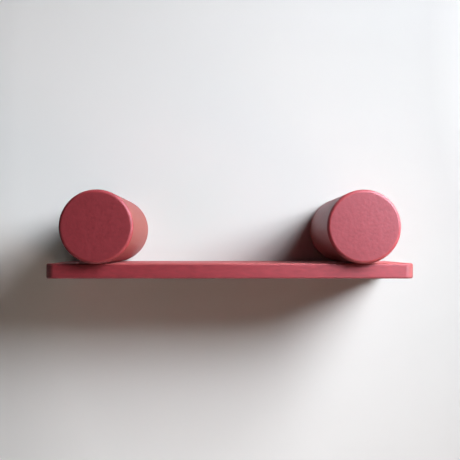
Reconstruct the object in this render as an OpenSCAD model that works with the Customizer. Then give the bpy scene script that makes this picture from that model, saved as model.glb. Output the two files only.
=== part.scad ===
// Floating wall shelf: a thin lacquered board hung beneath two turned cylinders that hide its wall fixings.
// X runs along the wall, Y into the wall and Z up. The wall is the plane y = 0, and the front is towards -Y.
// The origin is the centre of the four wall screw slots, level with the axes of the cylinders.

/* [Board] */
// Width of the board along the wall
board_w = 450; // [360:5:1200]
// Depth of the board, from the wall to its front edge
board_d = 142; // [110:1:300]
// Thickness of the board
board_t = 18.4; // [15:0.1:40]
// Radius of the two front corners, seen from above
corner_r = 12; // [6:1:40]
// Radius of the board's eased edges
edge_r = 2; // [0.5:0.1:4]

/* [Cylinders] */
// Diameter of each cylinder
cylinder_d = 89.5; // [80:0.5:140]
// How far the cylinders stand out past the front of the board
face_overhang = 11; // [1:0.5:30]
// Distance from the side of a cylinder to the end of the board
end_margin = 19.25; // [1:0.25:60]
// Radius of the rounded rim of the front face
rim_r = 4; // [0.5:0.1:8]
// Depth of the flat planed along the underside, where the board is drawn up against it
seat_depth = 0.3; // [0.3:0.05:2]
// Wood left around the recess in the back
recess_wall = 5; // [3:0.5:8]
// Depth of the recess in the back, which takes the wall plate and the heads of the wall screws
recess_depth = 14; // [12:0.5:24]
// Solid wood left between the end of the bore and the front face
front_wood = 23; // [8:1:40]

/* [Wall plates] */
// Thickness of each wall plate
plate_t = 6; // [5:0.5:8]
// Gap all round, between the plate and the recess
plate_gap = 2; // [1:0.25:3]
// Height between the two slots of a plate
slot_spacing = 54; // [38:1:54]
// Width of a slot, for a 5 mm wall screw
slot_w = 5.5; // [4:0.1:6.5]
// Length of a slot, end to end, which lets the plate be squared up on the wall
slot_l = 9; // [7:0.5:16]

/* [Support rods] */
// Diameter of the rod that carries each cylinder
rod_d = 16; // [13:0.5:20]
// Gap all round, between the rod and its bore
bore_gap = 0.2; // [0.1:0.05:0.3]
// Free space left past the tip of the rod
tip_gap = 4; // [1:0.5:10]
// Chamfer on the tip of the rod
tip_chamfer = 1.5; // [0.5:0.1:3]
// Depth of the flat milled for the point of the set screw
grip_depth = 0.5; // [0.3:0.1:1.5]
// Length of that flat along the rod
grip_l = 18; // [10:1:30]

/* [Screws and inserts] */
// Thread of the screw that joins a rod to its plate
rod_screw_d = 8; // [6:1:8]
// How far that screw reaches into the rod
rod_screw_reach = 19.5; // [10:0.5:30]
// Thread of the screws that hold the board
board_screw_d = 6; // [5:0.5:6.5]
// How far those screws reach into their inserts
board_screw_reach = 12.1; // [6:0.1:12.5]
// Distance from the wall to the rear screw of the board
rear_screw_inset = 30; // [22:1:34]
// Distance from the front edge of the board to the front screw
front_screw_inset = 30; // [14:1:34]
// Thread of the set screw that locks a cylinder to its rod
set_screw_d = 6; // [5:0.5:6.5]
// Depth of the set screw's socket end inside the underside of the cylinder
set_screw_inset = 6.95; // [2:0.05:8]
// Depth of a countersunk head below its surface
head_inset = 0.5; // [0.2:0.1:1]
// Room all round a screw in its plain hole
hole_gap = 0.5; // [0.3:0.1:0.8]
// Gap between a plain shank and its plain tapped hole, standing for the thread
thread_gap = 0.1; // [0.05:0.05:0.2]
// Length of a threaded insert
insert_l = 13; // [12:0.5:16]
// Wall of a threaded insert
insert_wall = 2; // [1.5:0.1:2.2]
// Gap between an insert and the wood
insert_gap = 0.05; // [0.02:0.01:0.1]
// Free space left past the end of an insert
insert_end_gap = 2; // [1:0.5:4]

/* [Hidden] */
$fn = 96;
left = -1;
right = 1;
eps = 0.01;
lacquer = [0.62, 0.22, 0.27];
steel = [0.62, 0.63, 0.65];
black_steel = [0.16, 0.16, 0.17];
brass = [0.78, 0.62, 0.32];

cylinder_r = cylinder_d / 2;
cylinder_l = board_d + face_overhang;
cylinder_x = board_w / 2 - end_margin - cylinder_r;
seat_z = seat_depth - cylinder_r;
underside_z = seat_z - board_t;

recess_r = cylinder_r - recess_wall;
plate_r = recess_r - plate_gap;
bore_end = cylinder_l - front_wood;
rod_r = rod_d / 2;
rod_l = bore_end - tip_gap - plate_t;
grip_z = grip_depth - rod_r;

// Distances from the wall to the screws beneath a cylinder
rear_screw_y = rear_screw_inset;
front_screw_y = board_d - front_screw_inset;
set_screw_y = (rear_screw_y + front_screw_y) / 2;

rod_screw_l = plate_t - head_inset + rod_screw_reach;
rod_tap_l = rod_screw_reach + 3;
board_screw_l = board_t - head_inset + board_screw_reach;
set_screw_l = grip_z - seat_z - set_screw_inset;
end_chamfer = 0.6;
driver_slot = 1.5;

// Radius of a countersunk head, and its height down to the shank
function head_r(d) = d;
function head_h(d) = d / 2;
// Across the flats of the hex key for a countersunk screw and for a set screw
function head_key(d) = d < 8 ? 4 : 5;
function set_key(d) = d / 2;

// Moves its children onto the axis of one cylinder, a distance y in front of the wall
module at_cylinder(side, y = 0) translate([side * cylinder_x, -y, 0]) children();

// Stands its children, drawn along +Z, out from the wall
module from_wall() rotate([90, 0, 0]) children();

// A six-sided socket, d across the flats
module hex_socket(d, h) cylinder(d = d / cos(30), h = h, $fn = 6);

// One edge of the board in section, from its inner line out to the eased edge at x = reach
module eased_edge(reach) {
    square([reach - edge_r, board_t]);
    translate([0, edge_r]) square([reach, board_t - 2 * edge_r]);
    for (z = [edge_r, board_t - edge_r])
        translate([reach - edge_r, z]) circle(edge_r);
}

// Plain board: eased and rounded at the front and the ends, square where it meets the wall
module board_blank() {
    end_x = board_w / 2 - corner_r;
    front_y = board_d - corner_r;
    translate([0, 0, underside_z]) {
        translate([-end_x, -front_y, 0]) cube([2 * end_x, front_y, board_t]);
        translate([-end_x, -front_y, 0]) rotate([90, 0, 90])
            linear_extrude(2 * end_x) mirror([1, 0]) eased_edge(corner_r);
        for (side = [left, right]) {
            translate([side * end_x, 0, 0]) rotate([90, 0, 0])
                linear_extrude(front_y) mirror([side < 0 ? 1 : 0, 0]) eased_edge(corner_r);
            translate([side * end_x, -front_y, 0])
                rotate([0, 0, side < 0 ? 180 : 270]) rotate_extrude(angle = 90) eased_edge(corner_r);
        }
    }
}

// Hole for a countersunk screw, entered from z = 0 upwards
module countersunk_hole(d, depth) {
    translate([0, 0, -eps]) cylinder(r = d / 2 + hole_gap, h = depth + 2 * eps);
    translate([0, 0, -eps]) cylinder(r = head_r(d), h = head_inset + eps);
    translate([0, 0, head_inset]) cylinder(r1 = head_r(d), r2 = d / 2, h = head_h(d));
}

module shelf_board() {
    color(lacquer) difference() {
        board_blank();
        for (side = [left, right]) {
            for (y = [rear_screw_y, front_screw_y])
                at_cylinder(side, y) translate([0, 0, underside_z]) countersunk_hole(board_screw_d, board_t);
            at_cylinder(side, set_screw_y) translate([0, 0, underside_z - eps])
                cylinder(r = set_screw_d / 2 + hole_gap, h = board_t + 2 * eps);
        }
    }
}

// Section of the cylinder from its axis out, with the rounded rim at the front
module cylinder_section() {
    square([cylinder_r - rim_r, cylinder_l]);
    square([cylinder_r, cylinder_l - rim_r]);
    translate([cylinder_r - rim_r, cylinder_l - rim_r]) circle(rim_r);
}

module support_cylinder(side) {
    color(lacquer) at_cylinder(side) difference() {
        from_wall() rotate_extrude($fn = 180) cylinder_section();
        // Recess for the wall plate, and the bore for the rod
        from_wall() translate([0, 0, -eps]) cylinder(r = recess_r, h = recess_depth + eps);
        from_wall() cylinder(r = rod_r + bore_gap, h = bore_end);
        // Flat along the underside
        translate([-cylinder_r, -cylinder_l - eps, -2 * cylinder_r + seat_z])
            cube([2 * cylinder_r, cylinder_l + 2 * eps, 2 * cylinder_r]);
        // Seats of the three inserts, and the way through to the rod for the set screw
        for (y = [rear_screw_y, front_screw_y]) translate([0, -y, seat_z - eps])
            cylinder(r = insert_r(board_screw_d) + insert_gap, h = insert_l + insert_end_gap + eps);
        translate([0, -set_screw_y, seat_z - eps]) {
            cylinder(r = insert_r(set_screw_d) + insert_gap, h = insert_l + eps);
            cylinder(r = set_screw_d / 2 + hole_gap, h = -seat_z);
        }
    }
}

module wall_plate(side) {
    color(steel) at_cylinder(side) difference() {
        from_wall() cylinder(r = plate_r, h = plate_t);
        from_wall() countersunk_hole(rod_screw_d, plate_t);
        for (z = [-1, 1]) translate([0, eps, z * slot_spacing / 2]) from_wall()
            linear_extrude(plate_t + 2 * eps) slot();
    }
}

// Outline of a slot, round at both ends
module slot() {
    run = slot_l - slot_w;
    square([run, slot_w], center = true);
    for (x = [-run / 2, run / 2]) translate([x, 0]) circle(d = slot_w);
}

module support_rod(side) {
    color(steel) at_cylinder(side, plate_t) difference() {
        from_wall() {
            cylinder(r = rod_r, h = rod_l - tip_chamfer);
            translate([0, 0, rod_l - tip_chamfer])
                cylinder(r1 = rod_r, r2 = rod_r - tip_chamfer, h = tip_chamfer);
        }
        from_wall() translate([0, 0, -eps]) cylinder(r = rod_screw_d / 2, h = rod_tap_l + eps);
        translate([-rod_r, plate_t - set_screw_y - grip_l / 2, grip_z - rod_r])
            cube([2 * rod_r, grip_l, rod_r]);
    }
}

// Countersunk screw along +Z, with the face of its head at z = 0
module countersunk_screw(d, l) {
    shank_r = d / 2 - thread_gap;
    difference() {
        union() {
            cylinder(r1 = head_r(d), r2 = d / 2, h = head_h(d));
            cylinder(r = shank_r, h = l - end_chamfer);
            translate([0, 0, l - end_chamfer])
                cylinder(r1 = shank_r, r2 = shank_r - end_chamfer, h = end_chamfer);
        }
        translate([0, 0, -eps]) hex_socket(head_key(d), head_h(d));
    }
}

module rod_screw(side) {
    color(black_steel) at_cylinder(side, head_inset) from_wall()
        countersunk_screw(rod_screw_d, rod_screw_l);
}

module board_screw(side, y) {
    color(black_steel) at_cylinder(side, y) translate([0, 0, underside_z + head_inset])
        countersunk_screw(board_screw_d, board_screw_l);
}

// Outer radius of an insert for a thread of diameter d
function insert_r(d) = d / 2 + insert_wall;

// Threaded insert in the underside of a cylinder, with a slot for the driver across its mouth
module insert(side, y, d) {
    color(brass) at_cylinder(side, y) translate([0, 0, seat_z]) difference() {
        cylinder(r = insert_r(d), h = insert_l);
        translate([0, 0, -eps]) cylinder(r = d / 2, h = insert_l + 2 * eps);
        translate([-insert_r(d) - eps, -driver_slot / 2, -eps])
            cube([2 * (insert_r(d) + eps), driver_slot, driver_slot + eps]);
    }
}

// Set screw, with its flat point on the rod and its hex socket downwards
module set_screw(side) {
    shank_r = set_screw_d / 2 - thread_gap;
    color(black_steel) at_cylinder(side, set_screw_y) translate([0, 0, grip_z - set_screw_l])
        difference() {
            union() {
                cylinder(r1 = shank_r - end_chamfer, r2 = shank_r, h = end_chamfer);
                translate([0, 0, end_chamfer]) cylinder(r = shank_r, h = set_screw_l - 2 * end_chamfer);
                translate([0, 0, set_screw_l - end_chamfer])
                    cylinder(r1 = shank_r, r2 = shank_r - end_chamfer, h = end_chamfer);
            }
            translate([0, 0, -eps]) hex_socket(set_key(set_screw_d), set_screw_d / 2);
        }
}

shelf_board();
support_cylinder(left);  // left_cylinder
support_cylinder(right);  // right_cylinder
wall_plate(left);  // left_wall_plate
wall_plate(right);  // right_wall_plate
support_rod(left);  // left_support_rod
support_rod(right);  // right_support_rod
rod_screw(left);  // left_rod_screw
rod_screw(right);  // right_rod_screw
board_screw(left, rear_screw_y);  // left_rear_board_screw
board_screw(right, rear_screw_y);  // right_rear_board_screw
board_screw(left, front_screw_y);  // left_front_board_screw
board_screw(right, front_screw_y);  // right_front_board_screw
insert(left, rear_screw_y, board_screw_d);  // left_rear_insert
insert(right, rear_screw_y, board_screw_d);  // right_rear_insert
insert(left, front_screw_y, board_screw_d);  // left_front_insert
insert(right, front_screw_y, board_screw_d);  // right_front_insert
set_screw(left);  // left_set_screw
set_screw(right);  // right_set_screw
insert(left, set_screw_y, set_screw_d);  // left_set_screw_insert
insert(right, set_screw_y, set_screw_d);  // right_set_screw_insert
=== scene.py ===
# %% [markdown]
# # A floating shelf in rose-red lacquer
# The object is a thin board that hangs beneath two turned cylinders. The cylinders hide the wall
# plates and the rods that carry everything. This notebook takes the measured solids as a fixed
# frame, gives them their finishes, and lights them in front of a pale wall. Everything is in
# metres, with the wall at y = 0.

# %% Load the frame
import math

import bmesh
import bpy
import numpy as np
from mathutils import Matrix, Vector
from mathutils.geometry import tessellate_polygon


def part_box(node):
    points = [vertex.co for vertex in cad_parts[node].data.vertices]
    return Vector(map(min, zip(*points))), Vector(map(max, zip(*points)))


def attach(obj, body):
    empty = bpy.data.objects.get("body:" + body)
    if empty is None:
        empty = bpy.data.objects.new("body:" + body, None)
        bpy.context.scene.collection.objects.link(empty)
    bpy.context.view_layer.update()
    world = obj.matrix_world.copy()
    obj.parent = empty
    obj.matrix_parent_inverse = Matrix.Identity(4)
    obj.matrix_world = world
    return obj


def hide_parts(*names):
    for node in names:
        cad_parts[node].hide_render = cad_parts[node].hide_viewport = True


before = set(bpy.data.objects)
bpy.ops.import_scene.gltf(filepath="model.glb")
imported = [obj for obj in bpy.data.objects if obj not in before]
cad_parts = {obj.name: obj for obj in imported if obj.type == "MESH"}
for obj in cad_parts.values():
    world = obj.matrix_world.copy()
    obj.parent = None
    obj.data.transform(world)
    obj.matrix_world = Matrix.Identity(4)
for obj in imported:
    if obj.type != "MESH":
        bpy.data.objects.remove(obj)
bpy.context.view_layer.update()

MM = 0.001
SIDES = {"left": -1, "right": 1}
board_low, board_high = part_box("shelf_board")
turned_low, turned_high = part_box("right_cylinder")
board_top, board_bottom = board_high.z, board_low.z
cylinder_x = (turned_low.x + turned_high.x) / 2
cylinder_r = turned_high.z
cylinder_l = -turned_low.y
print("board", [round(v / MM, 1) for v in board_high - board_low], "mm")
print("cylinder radius and length", round(cylinder_r / MM, 1), round(cylinder_l / MM, 1), "mm")

# %% [markdown]
# ## Camera
# The photograph looks straight at the wall from about 0.9 m away, with the eye a little above the
# board and a few millimetres left of the middle. The two cylinders show their inner sides, and how
# much smaller their back ends look gives the distance. A camera can be placed by eye, by matching
# vanishing points, or from measured sizes. Measured sizes are used here, because they fix the lens
# and the distance at once.

# %% Camera
PHOTO_SIDE = 460
FOCAL_PIXELS = 634.1
HORIZON_ROW = 247
VANISHING_COLUMN = 223
EYE_FROM_WALL = 911 * MM
EYE_OVER_BOARD = 20 * MM
EYE_TO_LEFT = 8.82 * MM


def make_camera():
    """Lens = sensor * focal length / photo side. It turns by atan(pixels off the middle / focal
    length), both up and sideways."""
    data = bpy.data.cameras.new("photo_camera")
    data.lens = data.sensor_width * FOCAL_PIXELS / PHOTO_SIDE
    camera = bpy.data.objects.new("photo_camera", data)
    pitch = math.atan((HORIZON_ROW - PHOTO_SIDE / 2) / FOCAL_PIXELS)
    turned = math.atan((VANISHING_COLUMN - PHOTO_SIDE / 2) / FOCAL_PIXELS)
    camera.location = (-EYE_TO_LEFT, -EYE_FROM_WALL, board_top + EYE_OVER_BOARD)
    camera.rotation_euler = (math.pi / 2 + pitch, 0, turned)
    bpy.context.collection.objects.link(camera)
    bpy.context.scene.camera = camera
    print("lens", round(data.lens, 2), "mm, pitch", round(math.degrees(pitch), 2), "degrees")


make_camera()

# %% [markdown]
# ## Shader maths
# A finish is a small graph of nodes. Wiring each Math node by hand hides the formula, so one class
# wraps an output socket and turns Python's own operators into Math nodes. Any other node comes
# from one method.

# %% Shader helper


class Wire:
    """An output socket. The operators + - * > and abs() add the Math node that does the same."""

    def __init__(self, finish, socket):
        self.finish, self.socket = finish, socket

    def maths(self, operation, first, second, clamp=False):
        """Adds a Math node over two values or wires."""
        settings = {"operation": operation, "use_clamp": clamp}
        return self.finish.node("ShaderNodeMath", settings, {0: first, 1: second})

    def clamped(self):
        """The same value, held between 0 and 1."""
        return self.maths("ADD", self, 0.0, True)

    def __abs__(self):
        return self.maths("ABSOLUTE", self, 0.0)

    def __gt__(self, other):
        return self.maths("GREATER_THAN", self, other)

    def __add__(self, other):
        return self.maths("ADD", self, other)

    def __sub__(self, other):
        return self.maths("SUBTRACT", self, other)

    def __rsub__(self, other):
        return self.maths("SUBTRACT", other, self)

    def __mul__(self, other):
        return self.maths("MULTIPLY", self, other)

    __radd__, __rmul__ = __add__, __mul__


class Finish:
    """A material, or the world, under construction."""

    def __init__(self, owner):
        self.owner = owner
        owner.use_nodes = True
        self.tree = owner.node_tree
        self.tree.nodes.clear()

    def node(self, kind, settings=None, sockets=None, output=0):
        """Adds a node, sets it up, fills or links its sockets, and returns one of its outputs."""
        made = self.tree.nodes.new(kind)
        for name, value in (settings or {}).items():
            setattr(made, name, value)
        for name, value in (sockets or {}).items():
            if isinstance(value, Wire):
                self.tree.links.new(value.socket, made.inputs[name])
            else:
                made.inputs[name].default_value = value
        return Wire(self, made.outputs[output]) if made.outputs else made

    def place(self, what="Object"):
        """The x, y and z of the point, or of its Normal, in the piece's own space, as wires."""
        point = self.node("ShaderNodeTexCoord", output=what)
        axes = self.node("ShaderNodeSeparateXYZ", None, {0: point})
        return [Wire(self, socket) for socket in axes.socket.node.outputs]

    def grain(self, size, stretch=(1, 1, 1), detail=2.0):
        """Noise from 0 to 1, in blotches about size metres across, times stretch on each axis."""
        place = self.node("ShaderNodeTexCoord", output="Object")
        scale = tuple(1 / (size * axis) for axis in stretch)
        placed = self.node("ShaderNodeMapping", None, {"Vector": place, "Scale": scale})
        return self.node("ShaderNodeTexNoise", None,
                         {"Vector": placed, "Scale": 1.0, "Detail": detail})

    def blend(self, share, first, second):
        """Colour that goes from first, at share 0, to second, at share 1."""
        return self.node("ShaderNodeMix", {"data_type": "RGBA"},
                         {0: share, 6: first, 7: second}, output=2)

    def bump(self, height, depth):
        """Normal of a surface whose height wire, from 0 to 1, stands for depth metres."""
        return self.node("ShaderNodeBump", None,
                         {"Height": height, "Distance": depth, "Strength": 1.0})

    def done(self, shader, kind="ShaderNodeOutputMaterial"):
        """Joins the shader to the output node, and returns the finished material or world."""
        self.node(kind, None, {"Surface": shader})
        return self.owner


def new_finish(name):
    """An empty material of this name, ready for its nodes."""
    return Finish(bpy.data.materials.new(name))


# %% [markdown]
# ## Meshes from formulas
# A turned piece is one profile carried round an axis, and a board's edge is one section carried
# round its outline. Both could be modelled by hand from a primitive, but a formula gives the same
# shape every time. Each is a grid of points, worked out here as whole arrays.

# %% Curves and grids


def arc(centre, radius, start, end, steps):
    """Points on a circle: centre + radius (cos a, sin a), with a from start to end in degrees."""
    angle = np.radians(np.linspace(start, end, steps + 1))
    return np.asarray(centre) + radius * np.stack([np.cos(angle), np.sin(angle)], axis=-1)


def turn(profile, steps=256):
    """(radius, distance) carried round Z: x = radius cos a, y = radius sin a, z = distance."""
    profile = np.asarray(profile, float)
    angle = np.linspace(0, 2 * np.pi, steps, endpoint=False)
    radius, distance = profile[:, :1], profile[:, 1:]
    return np.stack([radius * np.cos(angle), radius * np.sin(angle), distance + 0 * angle], axis=-1)


def grid_faces(rows, columns, closed):
    """Quads of a grid: point (i, j) joins the next ones by i and by j, and j wraps if closed."""
    index = np.arange(rows * columns).reshape(rows, columns)
    after = np.roll(index, -1, axis=1)
    if not closed:
        index, after = index[:, :-1], after[:, :-1]
    return np.stack([index[:-1], index[1:], after[1:], after[:-1]], axis=-1).reshape(-1, 4)


# %% [markdown]
# A grid is welded where its edges meet or shrink to a pole, and its faces are made to look
# outwards. A hole is cut with a closed grid of its own. The cut can leave points almost doubled,
# so the weld after it reaches ten times as far.

# %% Meshes
WELD = 1e-7
CUT_WELD = 10 * WELD
SHARP_ANGLE = math.radians(30)


def make_mesh(name, points, faces):
    """Object with these points and faces, welded, facing outwards, smooth but for sharp edges."""
    mesh = bpy.data.meshes.new(name)
    mesh.from_pydata(np.reshape(points, (-1, 3)).tolist(), [], faces)
    weld(mesh, WELD)
    piece = bpy.data.objects.new(name, mesh)
    bpy.context.collection.objects.link(piece)
    smooth(piece)
    return piece


def weld(mesh, gap):
    """Joins points no further apart than the gap and turns the faces outwards."""
    work = bmesh.new()
    work.from_mesh(mesh)
    bmesh.ops.remove_doubles(work, verts=work.verts, dist=gap)
    bmesh.ops.recalc_face_normals(work, faces=work.faces)
    work.to_mesh(mesh)
    work.free()


def smooth(piece):
    """Shades every face smooth, and keeps edges crisp where the faces turn by a sharp angle."""
    mesh = piece.data
    mesh.polygons.foreach_set("use_smooth", np.ones(len(mesh.polygons), bool))
    mesh.set_sharp_from_angle(angle=SHARP_ANGLE)


def cut(piece, grids):
    """Takes closed grids of points, one for each hole, out of the piece."""
    faces = [grid_faces(*grid.shape[:2], True) for grid in grids]
    firsts = np.cumsum([0] + [grid.shape[0] * grid.shape[1] for grid in grids[:-1]])
    points = np.concatenate([grid.reshape(-1, 3) for grid in grids])
    quads = np.concatenate([face + first for face, first in zip(faces, firsts)])
    cutter = make_mesh("cutter", points, quads.tolist())
    tool = piece.modifiers.new("cut", "BOOLEAN")
    tool.solver = "EXACT"
    tool.object = cutter
    whole = piece.evaluated_get(bpy.context.evaluated_depsgraph_get())
    uncut = piece.data
    piece.modifiers.clear()
    piece.data = bpy.data.meshes.new_from_object(whole)
    weld(piece.data, CUT_WELD)
    bpy.data.meshes.remove(uncut)
    bpy.data.meshes.remove(cutter.data)
    smooth(piece)


# %% [markdown]
# ## Finishes
# All the lacquered wood wears one sprayed finish: a deep rose red with no shine, whose dried
# droplets leave a fine grain. Paint could be a single flat colour, but a real sprayed coat drifts
# a little in tone and scatters light from every grain. Two sizes of noise tint the colour, and the
# finer one also raises the surface. The rounded rims are a little rougher, and are painted a
# brighter red as a painted highlight. The top of the board is painted coral as a painted highlight,
# and whatever faces sideways is painted nearer to coral as painted warm light from the side. The
# board's copy is painted paler on the whole, which stands in for more light on its front. The
# board's grain is longer along it, as its coat was drawn that way.

# %% Lacquer colours and masks
LACQUER_DEEP = (0.184, 0.0074, 0.0114, 1)
LACQUER_PALE = (0.352, 0.0212, 0.0312, 1)
# Painted light: the board's lacquer is a paler copy on the whole, standing in for more light on its
# front.
BOARD_DEEP = (0.165, 0.0072, 0.0108, 1)
BOARD_PALE = (0.447, 0.0278, 0.0408, 1)
# Painted highlight: the rounded rims are painted a brighter, redder colour.
RIM_HIGHLIGHT_RED = (0.320, 0.0025, 0.0050, 1)
# Painted highlight: the board's top and upper edge are painted coral.
UPPER_HIGHLIGHT_CORAL = (0.330, 0.0190, 0.0080, 1)
# Painted warm light: faces that turn sideways, on the cylinders and the board's ends, are painted
# nearer to coral.
SIDE_LIT_CORAL = (0.262, 0.0320, 0.0080, 1)
END_LIT_CORAL = (0.225, 0.0240, 0.0060, 1)
RIM_R = 4 * MM
RIM_FROM_AXIS, RIM_FROM_WALL = cylinder_r - RIM_R, cylinder_l - RIM_R
UPPER_EDGE = 1.5 * MM
# The masks go from 0 to 1 over 0.3 mm of radius, 1 mm of depth and 0.5 mm of height
SQUARED_RADIUS_RISE, DEPTH_RISE, HEIGHT_RISE = 40000, 1000, 2000


def turned_rim(x, y, z):
    """1 on the rounded front rim of either cylinder, by distance from its axis and the wall."""
    across = abs(x) - cylinder_x
    outer = (across * across + z * z - RIM_FROM_AXIS ** 2) * SQUARED_RADIUS_RISE
    front = (-1 * y - RIM_FROM_WALL) * DEPTH_RISE
    return outer.clamped() * front.clamped()


def board_top_side(x, y, z):
    """1 on the top of the board and its eased upper edge, 0 below."""
    return ((z - (board_top - UPPER_EDGE)) * HEIGHT_RISE).clamped()


print("lacquer from", LACQUER_DEEP[:3], "to", LACQUER_PALE[:3])

# %% Lacquer
CLOUD_SIZE, CLOUD_SHARE = 9 * MM, 0.1
DROPLET_SIZE, DROPLET_HEIGHT = 3.5 * MM, 0.14 * MM
LEAST_ROUGH, DROPLETS_ROUGHEN = 0.44, 0.16
SHINE_IOR, SHINE_TINT = 2.1, (0.78, 0.85, 1, 1)


def lacquer(name, deep, pale, highlit, red, rim_rough, coral, side_rough, stretch=(1, 1, 1)):
    """Colour = deep to pale by noise, then painted warm light in coral by how far the face turns
    sideways, then a painted highlight colour by the rim mask. Roughness = the least + a share of
    the droplets, the mask and the turn."""
    finish = new_finish(name)
    cloud = finish.grain(CLOUD_SIZE)
    droplets = finish.grain(DROPLET_SIZE, stretch)
    rim = highlit(*finish.place())
    sideways = abs(finish.place("Normal")[0]).clamped()
    coat = finish.blend(cloud * CLOUD_SHARE + droplets * (1 - CLOUD_SHARE), deep, pale)
    coat = finish.blend(sideways, coat, coral)
    rough = droplets * DROPLETS_ROUGHEN + rim * rim_rough + sideways * side_rough + LEAST_ROUGH
    paint = finish.node("ShaderNodeBsdfPrincipled", None, {
        "Base Color": finish.blend(rim, coat, red),
        "Roughness": rough,
        "Normal": finish.bump(droplets, DROPLET_HEIGHT),
        "IOR": SHINE_IOR,
        "Specular Tint": SHINE_TINT,
    })
    return finish.done(paint)


LACQUER = lacquer("lacquer", LACQUER_DEEP, LACQUER_PALE, highlit=turned_rim, red=RIM_HIGHLIGHT_RED,
                  rim_rough=0.12, coral=SIDE_LIT_CORAL, side_rough=0.02)
BOARD_LACQUER = lacquer("lacquer_drawn_along", BOARD_DEEP, BOARD_PALE, highlit=board_top_side,
                        red=UPPER_HIGHLIGHT_CORAL, rim_rough=0.30, coral=END_LIT_CORAL, side_rough=0.35,
                        stretch=(3, 1.5, 1))
print("finishes", LACQUER.name, "and", BOARD_LACQUER.name)

# %% [markdown]
# Inside the cylinders the wood is bare. Turned wood shows its grain along the blank, in fine
# fibres and in broader bands. Both are noise in the piece's own space, stretched along the axis.

# %% Bare wood
WOOD_DARK = (0.36, 0.20, 0.10, 1)
WOOD_PALE = (0.60, 0.41, 0.25, 1)
FIBRE_SIZE, FIBRE_STRETCH, FIBRE_DETAIL = 1.2 * MM, (1, 14, 1), 3.0
FIBRE_HEIGHT, FIBRE_SHARE = 0.08 * MM, 0.6
BAND_SIZE, BAND_STRETCH = 7 * MM, (1, 10, 1)
WOOD_ROUGH, FIBRES_ROUGHEN = 0.62, 0.2


def bare_wood():
    """Colour = dark to pale by fibres and bands. The fibres also roughen and raise the wood."""
    finish = new_finish("bare_wood")
    fibre = finish.grain(FIBRE_SIZE, FIBRE_STRETCH, FIBRE_DETAIL)
    band = finish.grain(BAND_SIZE, BAND_STRETCH)
    grain = fibre * FIBRE_SHARE + band * (1 - FIBRE_SHARE)
    timber = finish.node("ShaderNodeBsdfPrincipled", None, {
        "Base Color": finish.blend(grain, WOOD_DARK, WOOD_PALE),
        "Roughness": WOOD_ROUGH + fibre * FIBRES_ROUGHEN,
        "Normal": finish.bump(fibre, FIBRE_HEIGHT),
    })
    return finish.done(timber)


BARE_WOOD = bare_wood()
print("finish", BARE_WOOD.name)

# %% [markdown]
# The hidden hardware is metal: zinc on the plates and rods, black oxide on the screws, plain brass
# inserts. All are one kind of surface, whose fine marks roughen and raise it. Rolling and turning
# draw the marks out into lines, and the black screws keep them round.

# %% Metals
ZINC_DARK, ZINC_PALE = (0.38, 0.39, 0.42, 1), (0.53, 0.54, 0.56, 1)
OXIDE_DARK, OXIDE_PALE = (0.025, 0.025, 0.027, 1), (0.06, 0.06, 0.065, 1)
BRASS_DARK, BRASS_PALE = (0.60, 0.38, 0.12, 1), (0.78, 0.56, 0.24, 1)
TARNISH_SIZE, TARNISH_ROUGHENS, MARKS_ROUGHEN = 8 * MM, 0.08, 0.12


def metal(name, dark, pale, roughness, size, stretch, depth):
    """Colour = dark to pale by a broad tarnish. Marks of this size and stretch rise by depth."""
    finish = new_finish(name)
    marks = finish.grain(size, stretch)
    tarnish = finish.grain(TARNISH_SIZE)
    surface = finish.node("ShaderNodeBsdfPrincipled", None, {
        "Base Color": finish.blend(tarnish, dark, pale),
        "Roughness": roughness + marks * MARKS_ROUGHEN + tarnish * TARNISH_ROUGHENS,
        "Normal": finish.bump(marks, depth),
        "Metallic": 1.0,
    })
    print("finish", name)
    return finish.done(surface)


ROLLED_ZINC = metal("rolled_zinc", ZINC_DARK, ZINC_PALE, roughness=0.30,
                    size=0.5 * MM, stretch=(30, 1, 1), depth=0.03 * MM)
TURNED_ZINC = metal("turned_zinc", ZINC_DARK, ZINC_PALE, roughness=0.28,
                    size=0.4 * MM, stretch=(20, 1, 20), depth=0.01 * MM)
BLACK_OXIDE = metal("black_oxide", OXIDE_DARK, OXIDE_PALE, roughness=0.32,
                    size=0.5 * MM, stretch=(1, 1, 1), depth=0.008 * MM)
BRASS = metal("turned_brass", BRASS_DARK, BRASS_PALE, roughness=0.24,
              size=0.3 * MM, stretch=(12, 12, 1), depth=0.01 * MM)

# %% [markdown]
# ## The cylinders
# Each cylinder is turned from a solid blank: a long plain side, a rounded rim and a flat face at
# the front, and at the back a recess for the wall plate and a bore for its rod. A primitive
# cylinder has none of these, so the whole section is one profile, from the end of the bore out to
# the middle of the front face, and it is carried round the axis. The underside is planed flat
# where the board is drawn up against it, and has seats for the threaded inserts.

# %% Cylinder profile
RECESS_R, RECESS_DEPTH = cylinder_r - 5 * MM, 14 * MM
BORE_R, BORE_END = 8.2 * MM, cylinder_l - 23 * MM
SUPPORT = 0.4 * MM
EASE = 0.4 * MM
RIM_STEPS = 10


def turned_profile():
    """(radius, distance from the wall), from the end of the bore to the middle of the front."""
    flat = cylinder_l - RIM_R
    return np.concatenate([
        [(0, BORE_END), (BORE_R, BORE_END), (BORE_R, RECESS_DEPTH), (RECESS_R, RECESS_DEPTH)],
        [(RECESS_R, EASE), (RECESS_R + EASE, 0), (cylinder_r - EASE, 0), (cylinder_r, EASE)],
        [(cylinder_r, 2 * EASE), (cylinder_r, flat - SUPPORT)],
        arc((cylinder_r - RIM_R, flat), RIM_R, 0, 90, RIM_STEPS),
        [(cylinder_r - RIM_R - SUPPORT, cylinder_l), (0, cylinder_l)],
    ])


def out_from_wall(points):
    """Lays a shape turned round Z on its side, so that its distance runs out from the wall."""
    return np.stack([points[..., 0], -points[..., 2], points[..., 1]], axis=-1)


print("profile of", len(turned_profile()), "points")

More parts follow.
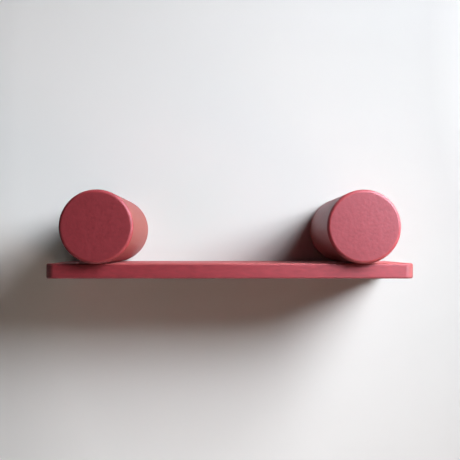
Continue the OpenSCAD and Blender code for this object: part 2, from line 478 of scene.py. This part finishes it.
# %% Cylinders
SCREWS_Y = {"rear": 30 * MM, "set": 71 * MM, "front": 112 * MM}
SEAT_R, SEAT_DEPTH, SET_SEAT_DEPTH = 5.05 * MM, 15 * MM, 13 * MM
SET_BORE_R, SET_BORE_DEPTH = 3.5 * MM, 40 * MM


def hole(side, y, radius, z, depth, below=1 * MM, steps=48):
    """Closed upright cylinder of this radius, from a little below z to depth above it."""
    profile = [(0, -below), (radius, -below), (radius, depth), (0, depth)]
    return turn(profile, steps) + np.array([side * cylinder_x, -y, z])


def make_cylinder(name, side):
    """Turned profile, kept above the board's top, less its seats and the set screw's bore."""
    points = out_from_wall(turn(turned_profile()))
    points[..., 2] = np.maximum(points[..., 2], board_top)
    points[..., 0] += side * cylinder_x
    piece = make_mesh(name, points, grid_faces(*points.shape[:2], True).tolist())
    cut(piece, [hole(side, SCREWS_Y[row], SEAT_R, board_top, SEAT_DEPTH)
                for row in ("rear", "front")])
    cut(piece, [hole(side, SCREWS_Y["set"], SEAT_R, board_top, SET_SEAT_DEPTH)])
    cut(piece, [hole(side, SCREWS_Y["set"], SET_BORE_R, board_top, SET_BORE_DEPTH)])
    return piece


def line_with_wood(piece, side):
    """Gives the bare wood to every face inside the recess, the bore and the seats."""
    faces = piece.data.polygons
    piece.data.materials.append(LACQUER)
    piece.data.materials.append(BARE_WOOD)
    middle = np.empty(len(faces) * 3)
    faces.foreach_get("center", middle)
    x, y, z = middle.reshape(-1, 3).T
    slack = EASE / 4
    inside = (np.hypot(x - side * cylinder_x, z) < RECESS_R + slack) & (y > -BORE_END - slack)
    faces.foreach_set("material_index", inside.astype(np.int32))


for word, side in SIDES.items():
    piece = make_cylinder(f"{word}_turned_cylinder", side)
    line_with_wood(piece, side)
    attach(piece, "root")
    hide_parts(f"{word}_cylinder")
    print(piece.name, len(piece.data.polygons), "faces")

# %% [markdown]
# ## The board
# The board is fibreboard: rounded front corners, edges eased by hand, and a square back that meets
# the wall. A bevelled box would round the back edge too. Here the eased section is carried along
# the outline from one back corner to the other, and the top, the underside and the back are filled
# in flat.

# %% Board shape
CORNER_R, CORNER_STEPS = 12 * MM, 24
EDGE_R, EDGE_STEPS = 2 * MM, 8
board_d = -board_low.y


def board_outline():
    """Plan of the board from left back to right back: points, and the way out at each."""
    x, y = board_high.x - CORNER_R, CORNER_R - board_d
    left = arc((-x, y), CORNER_R, 180, 270, CORNER_STEPS)
    right = arc((x, y), CORNER_R, 270, 360, CORNER_STEPS)
    points = np.concatenate([[(board_low.x, 0)], left, right, [(board_high.x, 0)]])
    centres = np.concatenate([[(-x, 0)], 0 * left + (-x, y), 0 * right + (x, y), [(x, 0)]])
    return points, (points - centres) / CORNER_R


def board_section():
    """(distance in from the outline, height) up the eased edge, with a flat step at either end."""
    low = arc((EDGE_R, board_bottom + EDGE_R), EDGE_R, 270, 180, EDGE_STEPS)
    high = arc((EDGE_R, board_top - EDGE_R), EDGE_R, 180, 90, EDGE_STEPS)
    inner = EDGE_R + SUPPORT
    return np.concatenate([[(inner, board_bottom)], low, [(0, board_bottom + EDGE_R + SUPPORT)],
                           [(0, board_top - EDGE_R - SUPPORT)], high, [(inner, board_top)]])


def make_board():
    """Point = outline point - way out * distance in, at the section's height."""
    outline, outwards = board_outline()
    section = board_section()
    plan = outline[:, None] - outwards[:, None] * section[None, :, :1]
    height = np.broadcast_to(section[None, :, 1:], plan.shape[:2] + (1,))
    points = np.concatenate([plan, height], axis=-1)
    rows, columns = points.shape[:2]
    index = np.arange(rows * columns).reshape(rows, columns)
    underside, top = index[:, 0].tolist(), index[:, -1].tolist()
    back = index[0].tolist() + index[-1, ::-1].tolist()
    faces = grid_faces(rows, columns, False).tolist() + [underside, top, back]
    return make_mesh("lacquered_board", points, faces)


board = make_board()
print("board", len(board.data.polygons), "faces")

# %% [markdown]
# Four countersunk holes take the screws that hold the board up, and between them two plain holes
# let a hex key through to the set screws. They could be drawn on the underside, but real holes
# show their depth, so each is cut.

# %% Holes in the board
HEAD_R, SHANK_HOLE_R, HEAD_INSET = 6 * MM, 3.5 * MM, 0.5 * MM
RIGHT_THROUGH = 20 * MM


def countersink(side, y, over=1 * MM, steps=64):
    """Closed cutter from a little below the board to a little above: head, cone, then shank."""
    top = board_top - board_bottom + over
    profile = [(0, -over), (HEAD_R, -over), (HEAD_R, HEAD_INSET),
               (SHANK_HOLE_R, HEAD_INSET + HEAD_R - SHANK_HOLE_R), (SHANK_HOLE_R, top), (0, top)]
    return turn(profile, steps) + np.array([side * cylinder_x, -y, board_bottom])


screw_holes = [countersink(side, SCREWS_Y[row])
               for side in SIDES.values() for row in ("rear", "front")]
key_holes = [hole(side, SCREWS_Y["set"], SHANK_HOLE_R, board_bottom, RIGHT_THROUGH)
             for side in SIDES.values()]
cut(board, screw_holes + key_holes)
board.data.materials.append(BOARD_LACQUER)
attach(board, "root")
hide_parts("shelf_board")
print("board with holes", len(board.data.polygons), "faces")

# %% [markdown]
# ## Plates and rods
# The measured solids of the wall plates and their rods already have the right shape, so they stay
# and only get their metal.

# %% Plate and rod finishes
METALS = {"wall_plate": ROLLED_ZINC, "support_rod": TURNED_ZINC}


def dress(node, finish):
    """Puts the finish in every material slot of a measured solid, and leaves its mesh alone."""
    for slot in bpy.data.objects[node].material_slots:
        slot.link = "OBJECT"
        slot.material = finish


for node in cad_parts:
    for part, finish in METALS.items():
        if node.endswith(part):
            dress(node, finish)
            print(node, "wears", finish.name)

# %% [markdown]
# ## Threads
# The solids of the screws and inserts are smooth, since a thread would only slow the checks down.
# The real ones are rolled or cut with a thread. It could be a coil laid on a rod, but then its
# ends and its root would be loose faces. Here a piece is one grid of rings from its socket to its
# tip: plain rings, six-sided rings for the hex socket, and threaded rings, whose radius rises and
# falls with distance along the axis less angle.

# %% Rings
COLUMNS = 48
RINGS_PER_PITCH = 12
ROUND = np.arange(COLUMNS) / COLUMNS
FLANK_SLOPE, HALF_CREST = 4, 0.5


def plain(radius, distance):
    """One ring with the same radius all round."""
    return np.full((1, COLUMNS), radius), np.array([distance])


def hexagon(flats, distance):
    """One six-sided ring: radius = half the width over flats / cos(angle from mid side)."""
    from_middle = np.mod(ROUND * 2 * np.pi, np.pi / 3) - np.pi / 6
    return (flats / 2 / np.cos(from_middle))[None], np.array([distance])


def thread(radius, depth, pitch, start, end):
    """Rings of a right-hand thread: radius - depth * wave, faded in and out over one pitch. The
    wave, 0 on the crest and 1 at the root, goes by distance / pitch - share of a turn."""
    rings = round(abs(end - start) / pitch * RINGS_PER_PITCH) + 1
    distance = np.linspace(start, end, rings)
    phase = np.mod(distance[:, None] / pitch - ROUND, 1)
    wave = np.clip(np.abs(FLANK_SLOPE * phase - FLANK_SLOPE / 2) - HALF_CREST, 0, 1)
    ends = np.minimum(np.abs(distance - start), np.abs(distance - end))
    return radius - depth * wave * np.clip(ends / pitch, 0, 1)[:, None], distance


def stack(rings):
    """Points of all the rings in turn: x = radius cos a, y = radius sin a, z = distance."""
    radius = np.concatenate([ring[0] for ring in rings])
    distance = np.concatenate([ring[1] for ring in rings])[:, None]
    angle = ROUND * 2 * np.pi
    return np.stack([radius * np.cos(angle), radius * np.sin(angle), distance + 0 * angle], axis=-1)


print("rings of", COLUMNS, "points,", RINGS_PER_PITCH, "to a pitch")

# %% [markdown]
# Three kinds of fastener are made, standing on their heads at the origin: countersunk screws in
# two sizes, a set screw and an insert. An insert is a tube with a coarse thread outside, a fine
# one inside, and a slot for a driver across its lower end.

# %% Fasteners
M6 = {"radius": 2.9 * MM, "pitch": 1.0 * MM, "depth": 0.55 * MM}
M8 = {"radius": 3.9 * MM, "pitch": 1.25 * MM, "depth": 0.70 * MM}
CHAMFER, HEAD_EDGE = 0.6 * MM, 0.12 * MM
INNER_EASE, INNER_DEPTH = 0.3 * MM, 0.3 * MM
OUTER_EASE, OUTER_DEPTH, OUTER_PITCH = 0.4 * MM, 0.7 * MM, 2.5 * MM
SLOT_DEPTH, CLEAR_OF_SLOT = 1.5 * MM, 1.9 * MM


def countersunk(head, cone, flats, socket, length, radius, pitch, depth):
    """Rings of a countersunk screw, from the bottom of its socket over the head to its tip."""
    under_edge = head - HEAD_EDGE * (head - radius) / cone
    return [plain(0, socket), hexagon(flats, socket), hexagon(flats, 0),
            plain(head - HEAD_EDGE, 0), plain(under_edge, HEAD_EDGE), plain(radius, cone),
            thread(radius, depth, pitch, cone + pitch / 2, length - CHAMFER),
            plain(radius - CHAMFER, length), plain(0, length)]


def set_screw(flats, socket, length, radius, pitch, depth):
    """Rings of a headless screw, from the bottom of its socket to its flat tip."""
    return [plain(0, socket), hexagon(flats, socket), hexagon(flats, 0),
            plain(radius - CHAMFER, 0), thread(radius, depth, pitch, CHAMFER, length - CHAMFER),
            plain(radius - CHAMFER, length), plain(0, length)]


def insert(radius, bore, length):
    """Rings down the bore, across the slotted end, up the outside and back to the mouth. Both
    threads stop clear of the slot."""
    mouth, wall = plain(bore + INNER_EASE, length), radius - OUTER_EASE
    return [mouth, thread(bore, -INNER_DEPTH, M6["pitch"], length - INNER_EASE, CLEAR_OF_SLOT),
            plain(bore, INNER_EASE), plain(bore + INNER_EASE, 0), plain(wall, 0),
            plain(radius, OUTER_EASE),
            thread(radius, OUTER_DEPTH, OUTER_PITCH, CLEAR_OF_SLOT, length - OUTER_EASE),
            plain(wall, length), mouth]


def bar(half_x, half_y, low, high):
    """Closed box on the Z axis, as a grid of four columns."""
    corners = np.array([(1, 1), (-1, 1), (-1, -1), (1, -1)]) * (half_x, half_y)
    heights = np.repeat([low, low, high, high], 4).reshape(4, 4, 1)
    return np.concatenate([np.array([0, 1, 1, 0])[:, None, None] * corners, heights], axis=-1)


def make_fastener(name, rings, finish):
    """Closed mesh over the rings, in one finish."""
    points = stack(rings)
    piece = make_mesh(name, points, grid_faces(*points.shape[:2], True).tolist())
    piece.data.materials.append(finish)
    print(name, len(piece.data.polygons), "faces")
    return piece


rod_model = make_fastener("rod_model", countersunk(
    head=8 * MM, cone=4 * MM, flats=5 * MM, socket=4 * MM, length=25 * MM, **M8), BLACK_OXIDE)
board_model = make_fastener("board_model", countersunk(
    head=6 * MM, cone=3 * MM, flats=4 * MM, socket=3 * MM, length=30 * MM, **M6), BLACK_OXIDE)
set_model = make_fastener("set_model", set_screw(
    flats=3 * MM, socket=3 * MM, length=30 * MM, **M6), BLACK_OXIDE)
insert_model = make_fastener("insert_model", insert(
    radius=5 * MM, bore=3 * MM, length=13 * MM), BRASS)
cut(insert_model, [bar(half_x=7 * MM, half_y=0.75 * MM, low=-1 * MM, high=SLOT_DEPTH)])

# %% [markdown]
# The models are then copied to their places: the rod screws lie down and point out from the wall,
# and the others stand upright in the board and the cylinders. A copy could keep its place in its
# object, but then its finish would turn with it, so the place goes into the mesh.

# %% Fasteners in place
ROD_SCREW_INSET = 0.5 * MM
SET_SCREW_FOOT = -37.5 * MM


def place_copy(model, node, where, turned=0.0):
    """Copy of the model's mesh for the node, turned about X and moved, its object at the origin."""
    mesh = model.data.copy()
    mesh.transform(Matrix.Translation(where) @ Matrix.Rotation(math.radians(turned), 4, "X"))
    piece = bpy.data.objects.new(f"{node}_threaded", mesh)
    bpy.context.collection.objects.link(piece)
    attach(piece, "root")
    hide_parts(node)
    print(piece.name, "at", [round(v / MM, 1) for v in where], "mm")


for word, side in SIDES.items():
    x, set_y = side * cylinder_x, -SCREWS_Y["set"]
    place_copy(rod_model, f"{word}_rod_screw", (x, -ROD_SCREW_INSET, 0), 90)
    place_copy(set_model, f"{word}_set_screw", (x, set_y, SET_SCREW_FOOT))
    place_copy(insert_model, f"{word}_set_screw_insert", (x, set_y, board_top))
    for row in ("rear", "front"):
        y = -SCREWS_Y[row]
        place_copy(board_model, f"{word}_{row}_board_screw",
                   (x, y, board_bottom + HEAD_INSET))
        place_copy(insert_model, f"{word}_{row}_insert", (x, y, board_top))
for model in (rod_model, board_model, set_model, insert_model):
    bpy.data.meshes.remove(model.data)

# %% [markdown]
# ## The room
# The shelf hangs on a plain plaster wall over a pale floor. Seen from behind, the wall and the
# floor let the camera through, and the wall has openings behind the shelf, so that light reaches
# its back. The lamps are small and near, so the room would turn black a step away. More lamps
# would flood the shelf with light. Instead the paint far from the shelf shows the camera its plain
# colour, which no other ray of light can see. The lit side of the left cylinder throws red light
# on the wall, of which the photograph shows hardly any, so the plaster beside it is a little
# cooler.

# %% Paint of the room
PLASTER = (0.935, 0.965, 0.970, 1)
SHADED_PLASTER = (0.33, 0.34, 0.34, 1)
COOL_PLASTER = (0.785, 0.920, 0.905, 1)
FLOOR = (0.86, 0.78, 0.68, 1)
# Share of pale plaster at the middle, and how it changes for each metre and square metre
GRADE_MIDDLE, GRADE_X, GRADE_Z = 0.458, -1.60, -0.383
GRADE_XX, GRADE_XZ, GRADE_ZZ = 0.77, -0.255, 0.90
# Middle of the cooler patch, and how far it reaches each way
COOL_X, COOL_Z, COOL_WIDE, COOL_HIGH = -0.090, -0.012, 0.18, 0.15
MOTTLE_SIZE, MOTTLE_SHARE = 60 * MM, 0.02


def wall_grade(x, z):
    """Share of pale plaster = a curve of second degree in x and z, palest at the lower left. It is
    painted shade, darker to the right, where the lamps fall strongest.
    """
    along = x * (z * GRADE_XZ + x * GRADE_XX + GRADE_X)
    return along + z * (z * GRADE_ZZ + GRADE_Z) + GRADE_MIDDLE


def reddened(x, z):
    """(1 - d squared) squared, with d the distance from the patch's middle over its reach."""
    across, up = (x - COOL_X) * (1 / COOL_WIDE), (z - COOL_Z) * (1 / COOL_HIGH)
    patch = (1 - (across * across + up * up)).clamped()
    return patch * patch


def wall_paint(finish, x, z):
    """Plaster from dark to pale by its grade and a faint mottle, and cooler on the patch."""
    mottle = finish.grain(MOTTLE_SIZE)
    shade = (wall_grade(x, z) + (mottle - 0.5) * MOTTLE_SHARE).clamped()
    pale = finish.blend(reddened(x, z), PLASTER, COOL_PLASTER)
    return finish.blend(shade, SHADED_PLASTER, pale)


def floor_paint(finish, x, z):
    """One colour all over."""
    return FLOOR


# %% [markdown]
# How much of its plain colour the paint shows the camera is a grade too. On the wall it is none
# within 0.5 m of the middle, and all beyond 1 m. On the floor it is four tenths below the shelf,
# and all beyond 1.4 m.

# %% Finish of the room
FAR_PAINT = (0.80, 0.80, 0.79, 1)
WALL_GLOW_START, WALL_GLOW_RISE = 0.25, 1.33
FLOOR_GLOW_LEAST, FLOOR_GLOW_RISE = 0.4, 0.3
MATT_ROUGH, MATT_SHINE = 0.9, 0.2


def wall_glow(x, y, z):
    """(Squared distance from the middle of the wall - squared start) * rise."""
    return ((x * x + z * z - WALL_GLOW_START) * WALL_GLOW_RISE).clamped()


def floor_glow(x, y, z):
    """Squared distance from below the middle of the wall * rise + the least."""
    return (x * x * FLOOR_GLOW_RISE + y * y * FLOOR_GLOW_RISE + FLOOR_GLOW_LEAST).clamped()


def room_finish(name, paint, glow_grade):
    """Paint on the front of a sheet, which glows to the camera by its grade; clear behind."""
    finish = new_finish(name)
    x, y, z = finish.place()
    matt = finish.node("ShaderNodeBsdfPrincipled", None, {
        "Base Color": paint(finish, x, z), "Roughness": MATT_ROUGH,
        "Specular IOR Level": MATT_SHINE})
    far = finish.node("ShaderNodeEmission", None, {"Color": FAR_PAINT})
    camera = finish.node("ShaderNodeLightPath", output="Is Camera Ray")
    share = camera * glow_grade(x, y, z)
    seen = finish.node("ShaderNodeMixShader", None, {0: share, 1: matt, 2: far})
    clear = finish.node("ShaderNodeBsdfTransparent")
    behind = finish.node("ShaderNodeNewGeometry", output="Backfacing")
    print("finish", name)
    return finish.done(finish.node("ShaderNodeMixShader", None, {0: behind, 1: seen, 2: clear}))


PLASTER_FINISH = room_finish("plaster", wall_paint, wall_glow)
FLOOR_FINISH = room_finish("floor_paint", floor_paint, floor_glow)

# %% [markdown]
# The wall and the floor are flat sheets. A plane would have no openings, so the outer edge and the
# openings are given as outlines, and the sheet between them is filled with triangles.

# %% Wall and floor
WALL_GAP = 0.2 * MM
OVERLAP = 1 * MM
ROOM_HALF, ROOM_DEEP, CEILING_Z, FLOOR_Z = 3, 4, 2.4, -1.1


def ring(radius, centre, steps=96):
    """Outline of a round opening, clockwise, with no point given twice."""
    return arc(centre, radius, 360, 360 / steps, steps - 1)


def upright(points):
    """(u, v) as a point of the wall: x = u, z = v."""
    return np.stack([points[:, 0], np.full(len(points), WALL_GAP), points[:, 1]], axis=-1)


def level(points):
    """(u, v) as a point of the floor: x = u, y = v."""
    return np.stack([points[:, 0], points[:, 1], np.full(len(points), FLOOR_Z)], axis=-1)


def make_sheet(name, outlines, place, finish, towards):
    """Flat sheet that faces towards a side: outlines are its outer edge, then each opening."""
    loops = [[Vector((u, v, 0)) for u, v in outline] for outline in outlines]
    faces = tessellate_polygon(loops)
    points = place(np.concatenate([np.asarray(outline, float) for outline in outlines]))
    mesh = bpy.data.meshes.new(name)
    mesh.from_pydata(points.tolist(), [], faces)
    mesh.materials.append(finish)
    if mesh.polygons[0].normal.dot(Vector(towards)) < 0:
        mesh.flip_normals()
    sheet = bpy.data.objects.new(name, mesh)
    bpy.context.collection.objects.link(sheet)
    print(name, len(mesh.polygons), "faces")


wall_edge = [(-ROOM_HALF, FLOOR_Z), (ROOM_HALF, FLOOR_Z),
             (ROOM_HALF, CEILING_Z), (-ROOM_HALF, CEILING_Z)]
floor_edge = [(-ROOM_HALF, WALL_GAP), (-ROOM_HALF, -ROOM_DEEP),
              (ROOM_HALF, -ROOM_DEEP), (ROOM_HALF, WALL_GAP)]
left_x, right_x = board_low.x + OVERLAP, board_high.x - OVERLAP
low_z, high_z = board_bottom + OVERLAP, board_top - OVERLAP
board_opening = [(left_x, low_z), (left_x, high_z), (right_x, high_z), (right_x, low_z)]
discs = [ring(cylinder_r - OVERLAP, (side * cylinder_x, 0)) for side in SIDES.values()]
make_sheet("wall", [wall_edge, board_opening, *discs], upright, PLASTER_FINISH, (0, -1, 0))
make_sheet("floor", [floor_edge], level, FLOOR_FINISH, (0, 0, 1))

# %% [markdown]
# ## Light
# The shadow falls to the lower left, dark beside the shelf and soft further out, as if from a tall
# bright window to the right. One big lamp would blur all of it alike. So three soft boxes hang at
# different heights to the right, and a fourth lamp with a grid, which keeps its light in a narrow
# beam, is aimed at the right end. A weak warm lamp stands for light thrown back from below, and
# browns the shadow. One more lamp behind the wall lights the plates for views from there. A lamp's
# strength is the share of full white that it would lend, with no grid, to a surface that faces it,
# so the lamps can be read like a mix.

# %% Lamps
bpy.context.scene.view_settings.view_transform = "Standard"
SHELF_MIDDLE = Vector((0, -0.07, 0))
RIGHT_END = Vector((0.30, -0.05, -0.08))
WHITE, DAYLIGHT, WARM = (1, 1, 1), (1, 1, 1.03), (1.0, 0.60, 0.42)
NO_GRID = 180


def lamp(name, azimuth, elevation, distance, size, share, colour=WHITE, spread=NO_GRID,
         aim=SHELF_MIDDLE):
    """Soft lamp at azimuth (to the right) and elevation in degrees, size wide and tall in metres.
    Power = share * pi squared * squared distance to what it is aimed at."""
    data = bpy.data.lights.new(name, "AREA")
    data.shape, data.size, data.size_y, data.color = "RECTANGLE", *size, colour
    data.spread = math.radians(spread)
    light = bpy.data.objects.new(name, data)
    across, up = math.radians(azimuth), math.radians(elevation)
    away = Vector((math.sin(across) * math.cos(up), -math.cos(across) * math.cos(up),
                   math.sin(up)))
    light.location = SHELF_MIDDLE + away * distance
    facing = light.location - aim
    data.energy = share * math.pi ** 2 * facing.length_squared
    light.rotation_euler = facing.to_track_quat("Z", "Y").to_euler()
    bpy.context.collection.objects.link(light)
    print(name, "at", [round(v, 2) for v in light.location], "m,", round(data.energy, 1), "W")


# Azimuth, elevation, distance, size and share
lamp("high_softbox", 62, 40, 1.10, (0.40, 0.40), 1.00, DAYLIGHT)
lamp("key_softbox", 56, 32, 1.00, (0.24, 0.24), 0.42, DAYLIGHT)
lamp("low_softbox", 56, 16, 1.00, (0.24, 0.24), 0.08, DAYLIGHT)
lamp("beam", 56, 20, 1.30, (0.34, 0.40), 0.277, DAYLIGHT, spread=65, aim=RIGHT_END)
lamp("warm_bounce", 60, -38, 1.30, (0.5, 0.5), 0.045, WARM, spread=80)
lamp("back", 180, 20, 2.0, (1.5, 1.5), 0.8)

# %% [markdown]
# ## Surroundings
# The camera sees plain white beyond the room. So do the shiny metals at the back, because a mirror
# in a black room looks black, but only in the directions behind the wall. The front keeps its dark
# surroundings, which is why the lacquer there stays deep.

# %% World
AMBIENT = 0.01
world = bpy.data.worlds.new("room")
bpy.context.scene.world = world
room = Finish(world)
direction = room.node("ShaderNodeTexCoord", output="Generated")
towards_wall = room.node("ShaderNodeSeparateXYZ", None, {0: direction}, output=1)
behind_wall = towards_wall > 0.0
camera = room.node("ShaderNodeLightPath", output="Is Camera Ray")
mirror = room.node("ShaderNodeLightPath", output="Is Glossy Ray")
glass = room.node("ShaderNodeLightPath", output="Is Transmission Ray")
white = (camera + glass + mirror * behind_wall).clamped()
glow = room.node("ShaderNodeBackground", None,
                 {"Color": (1, 1, 1, 1), "Strength": white * (1 - AMBIENT) + AMBIENT})
room.done(glow, "ShaderNodeOutputWorld")
print("world", world.name)
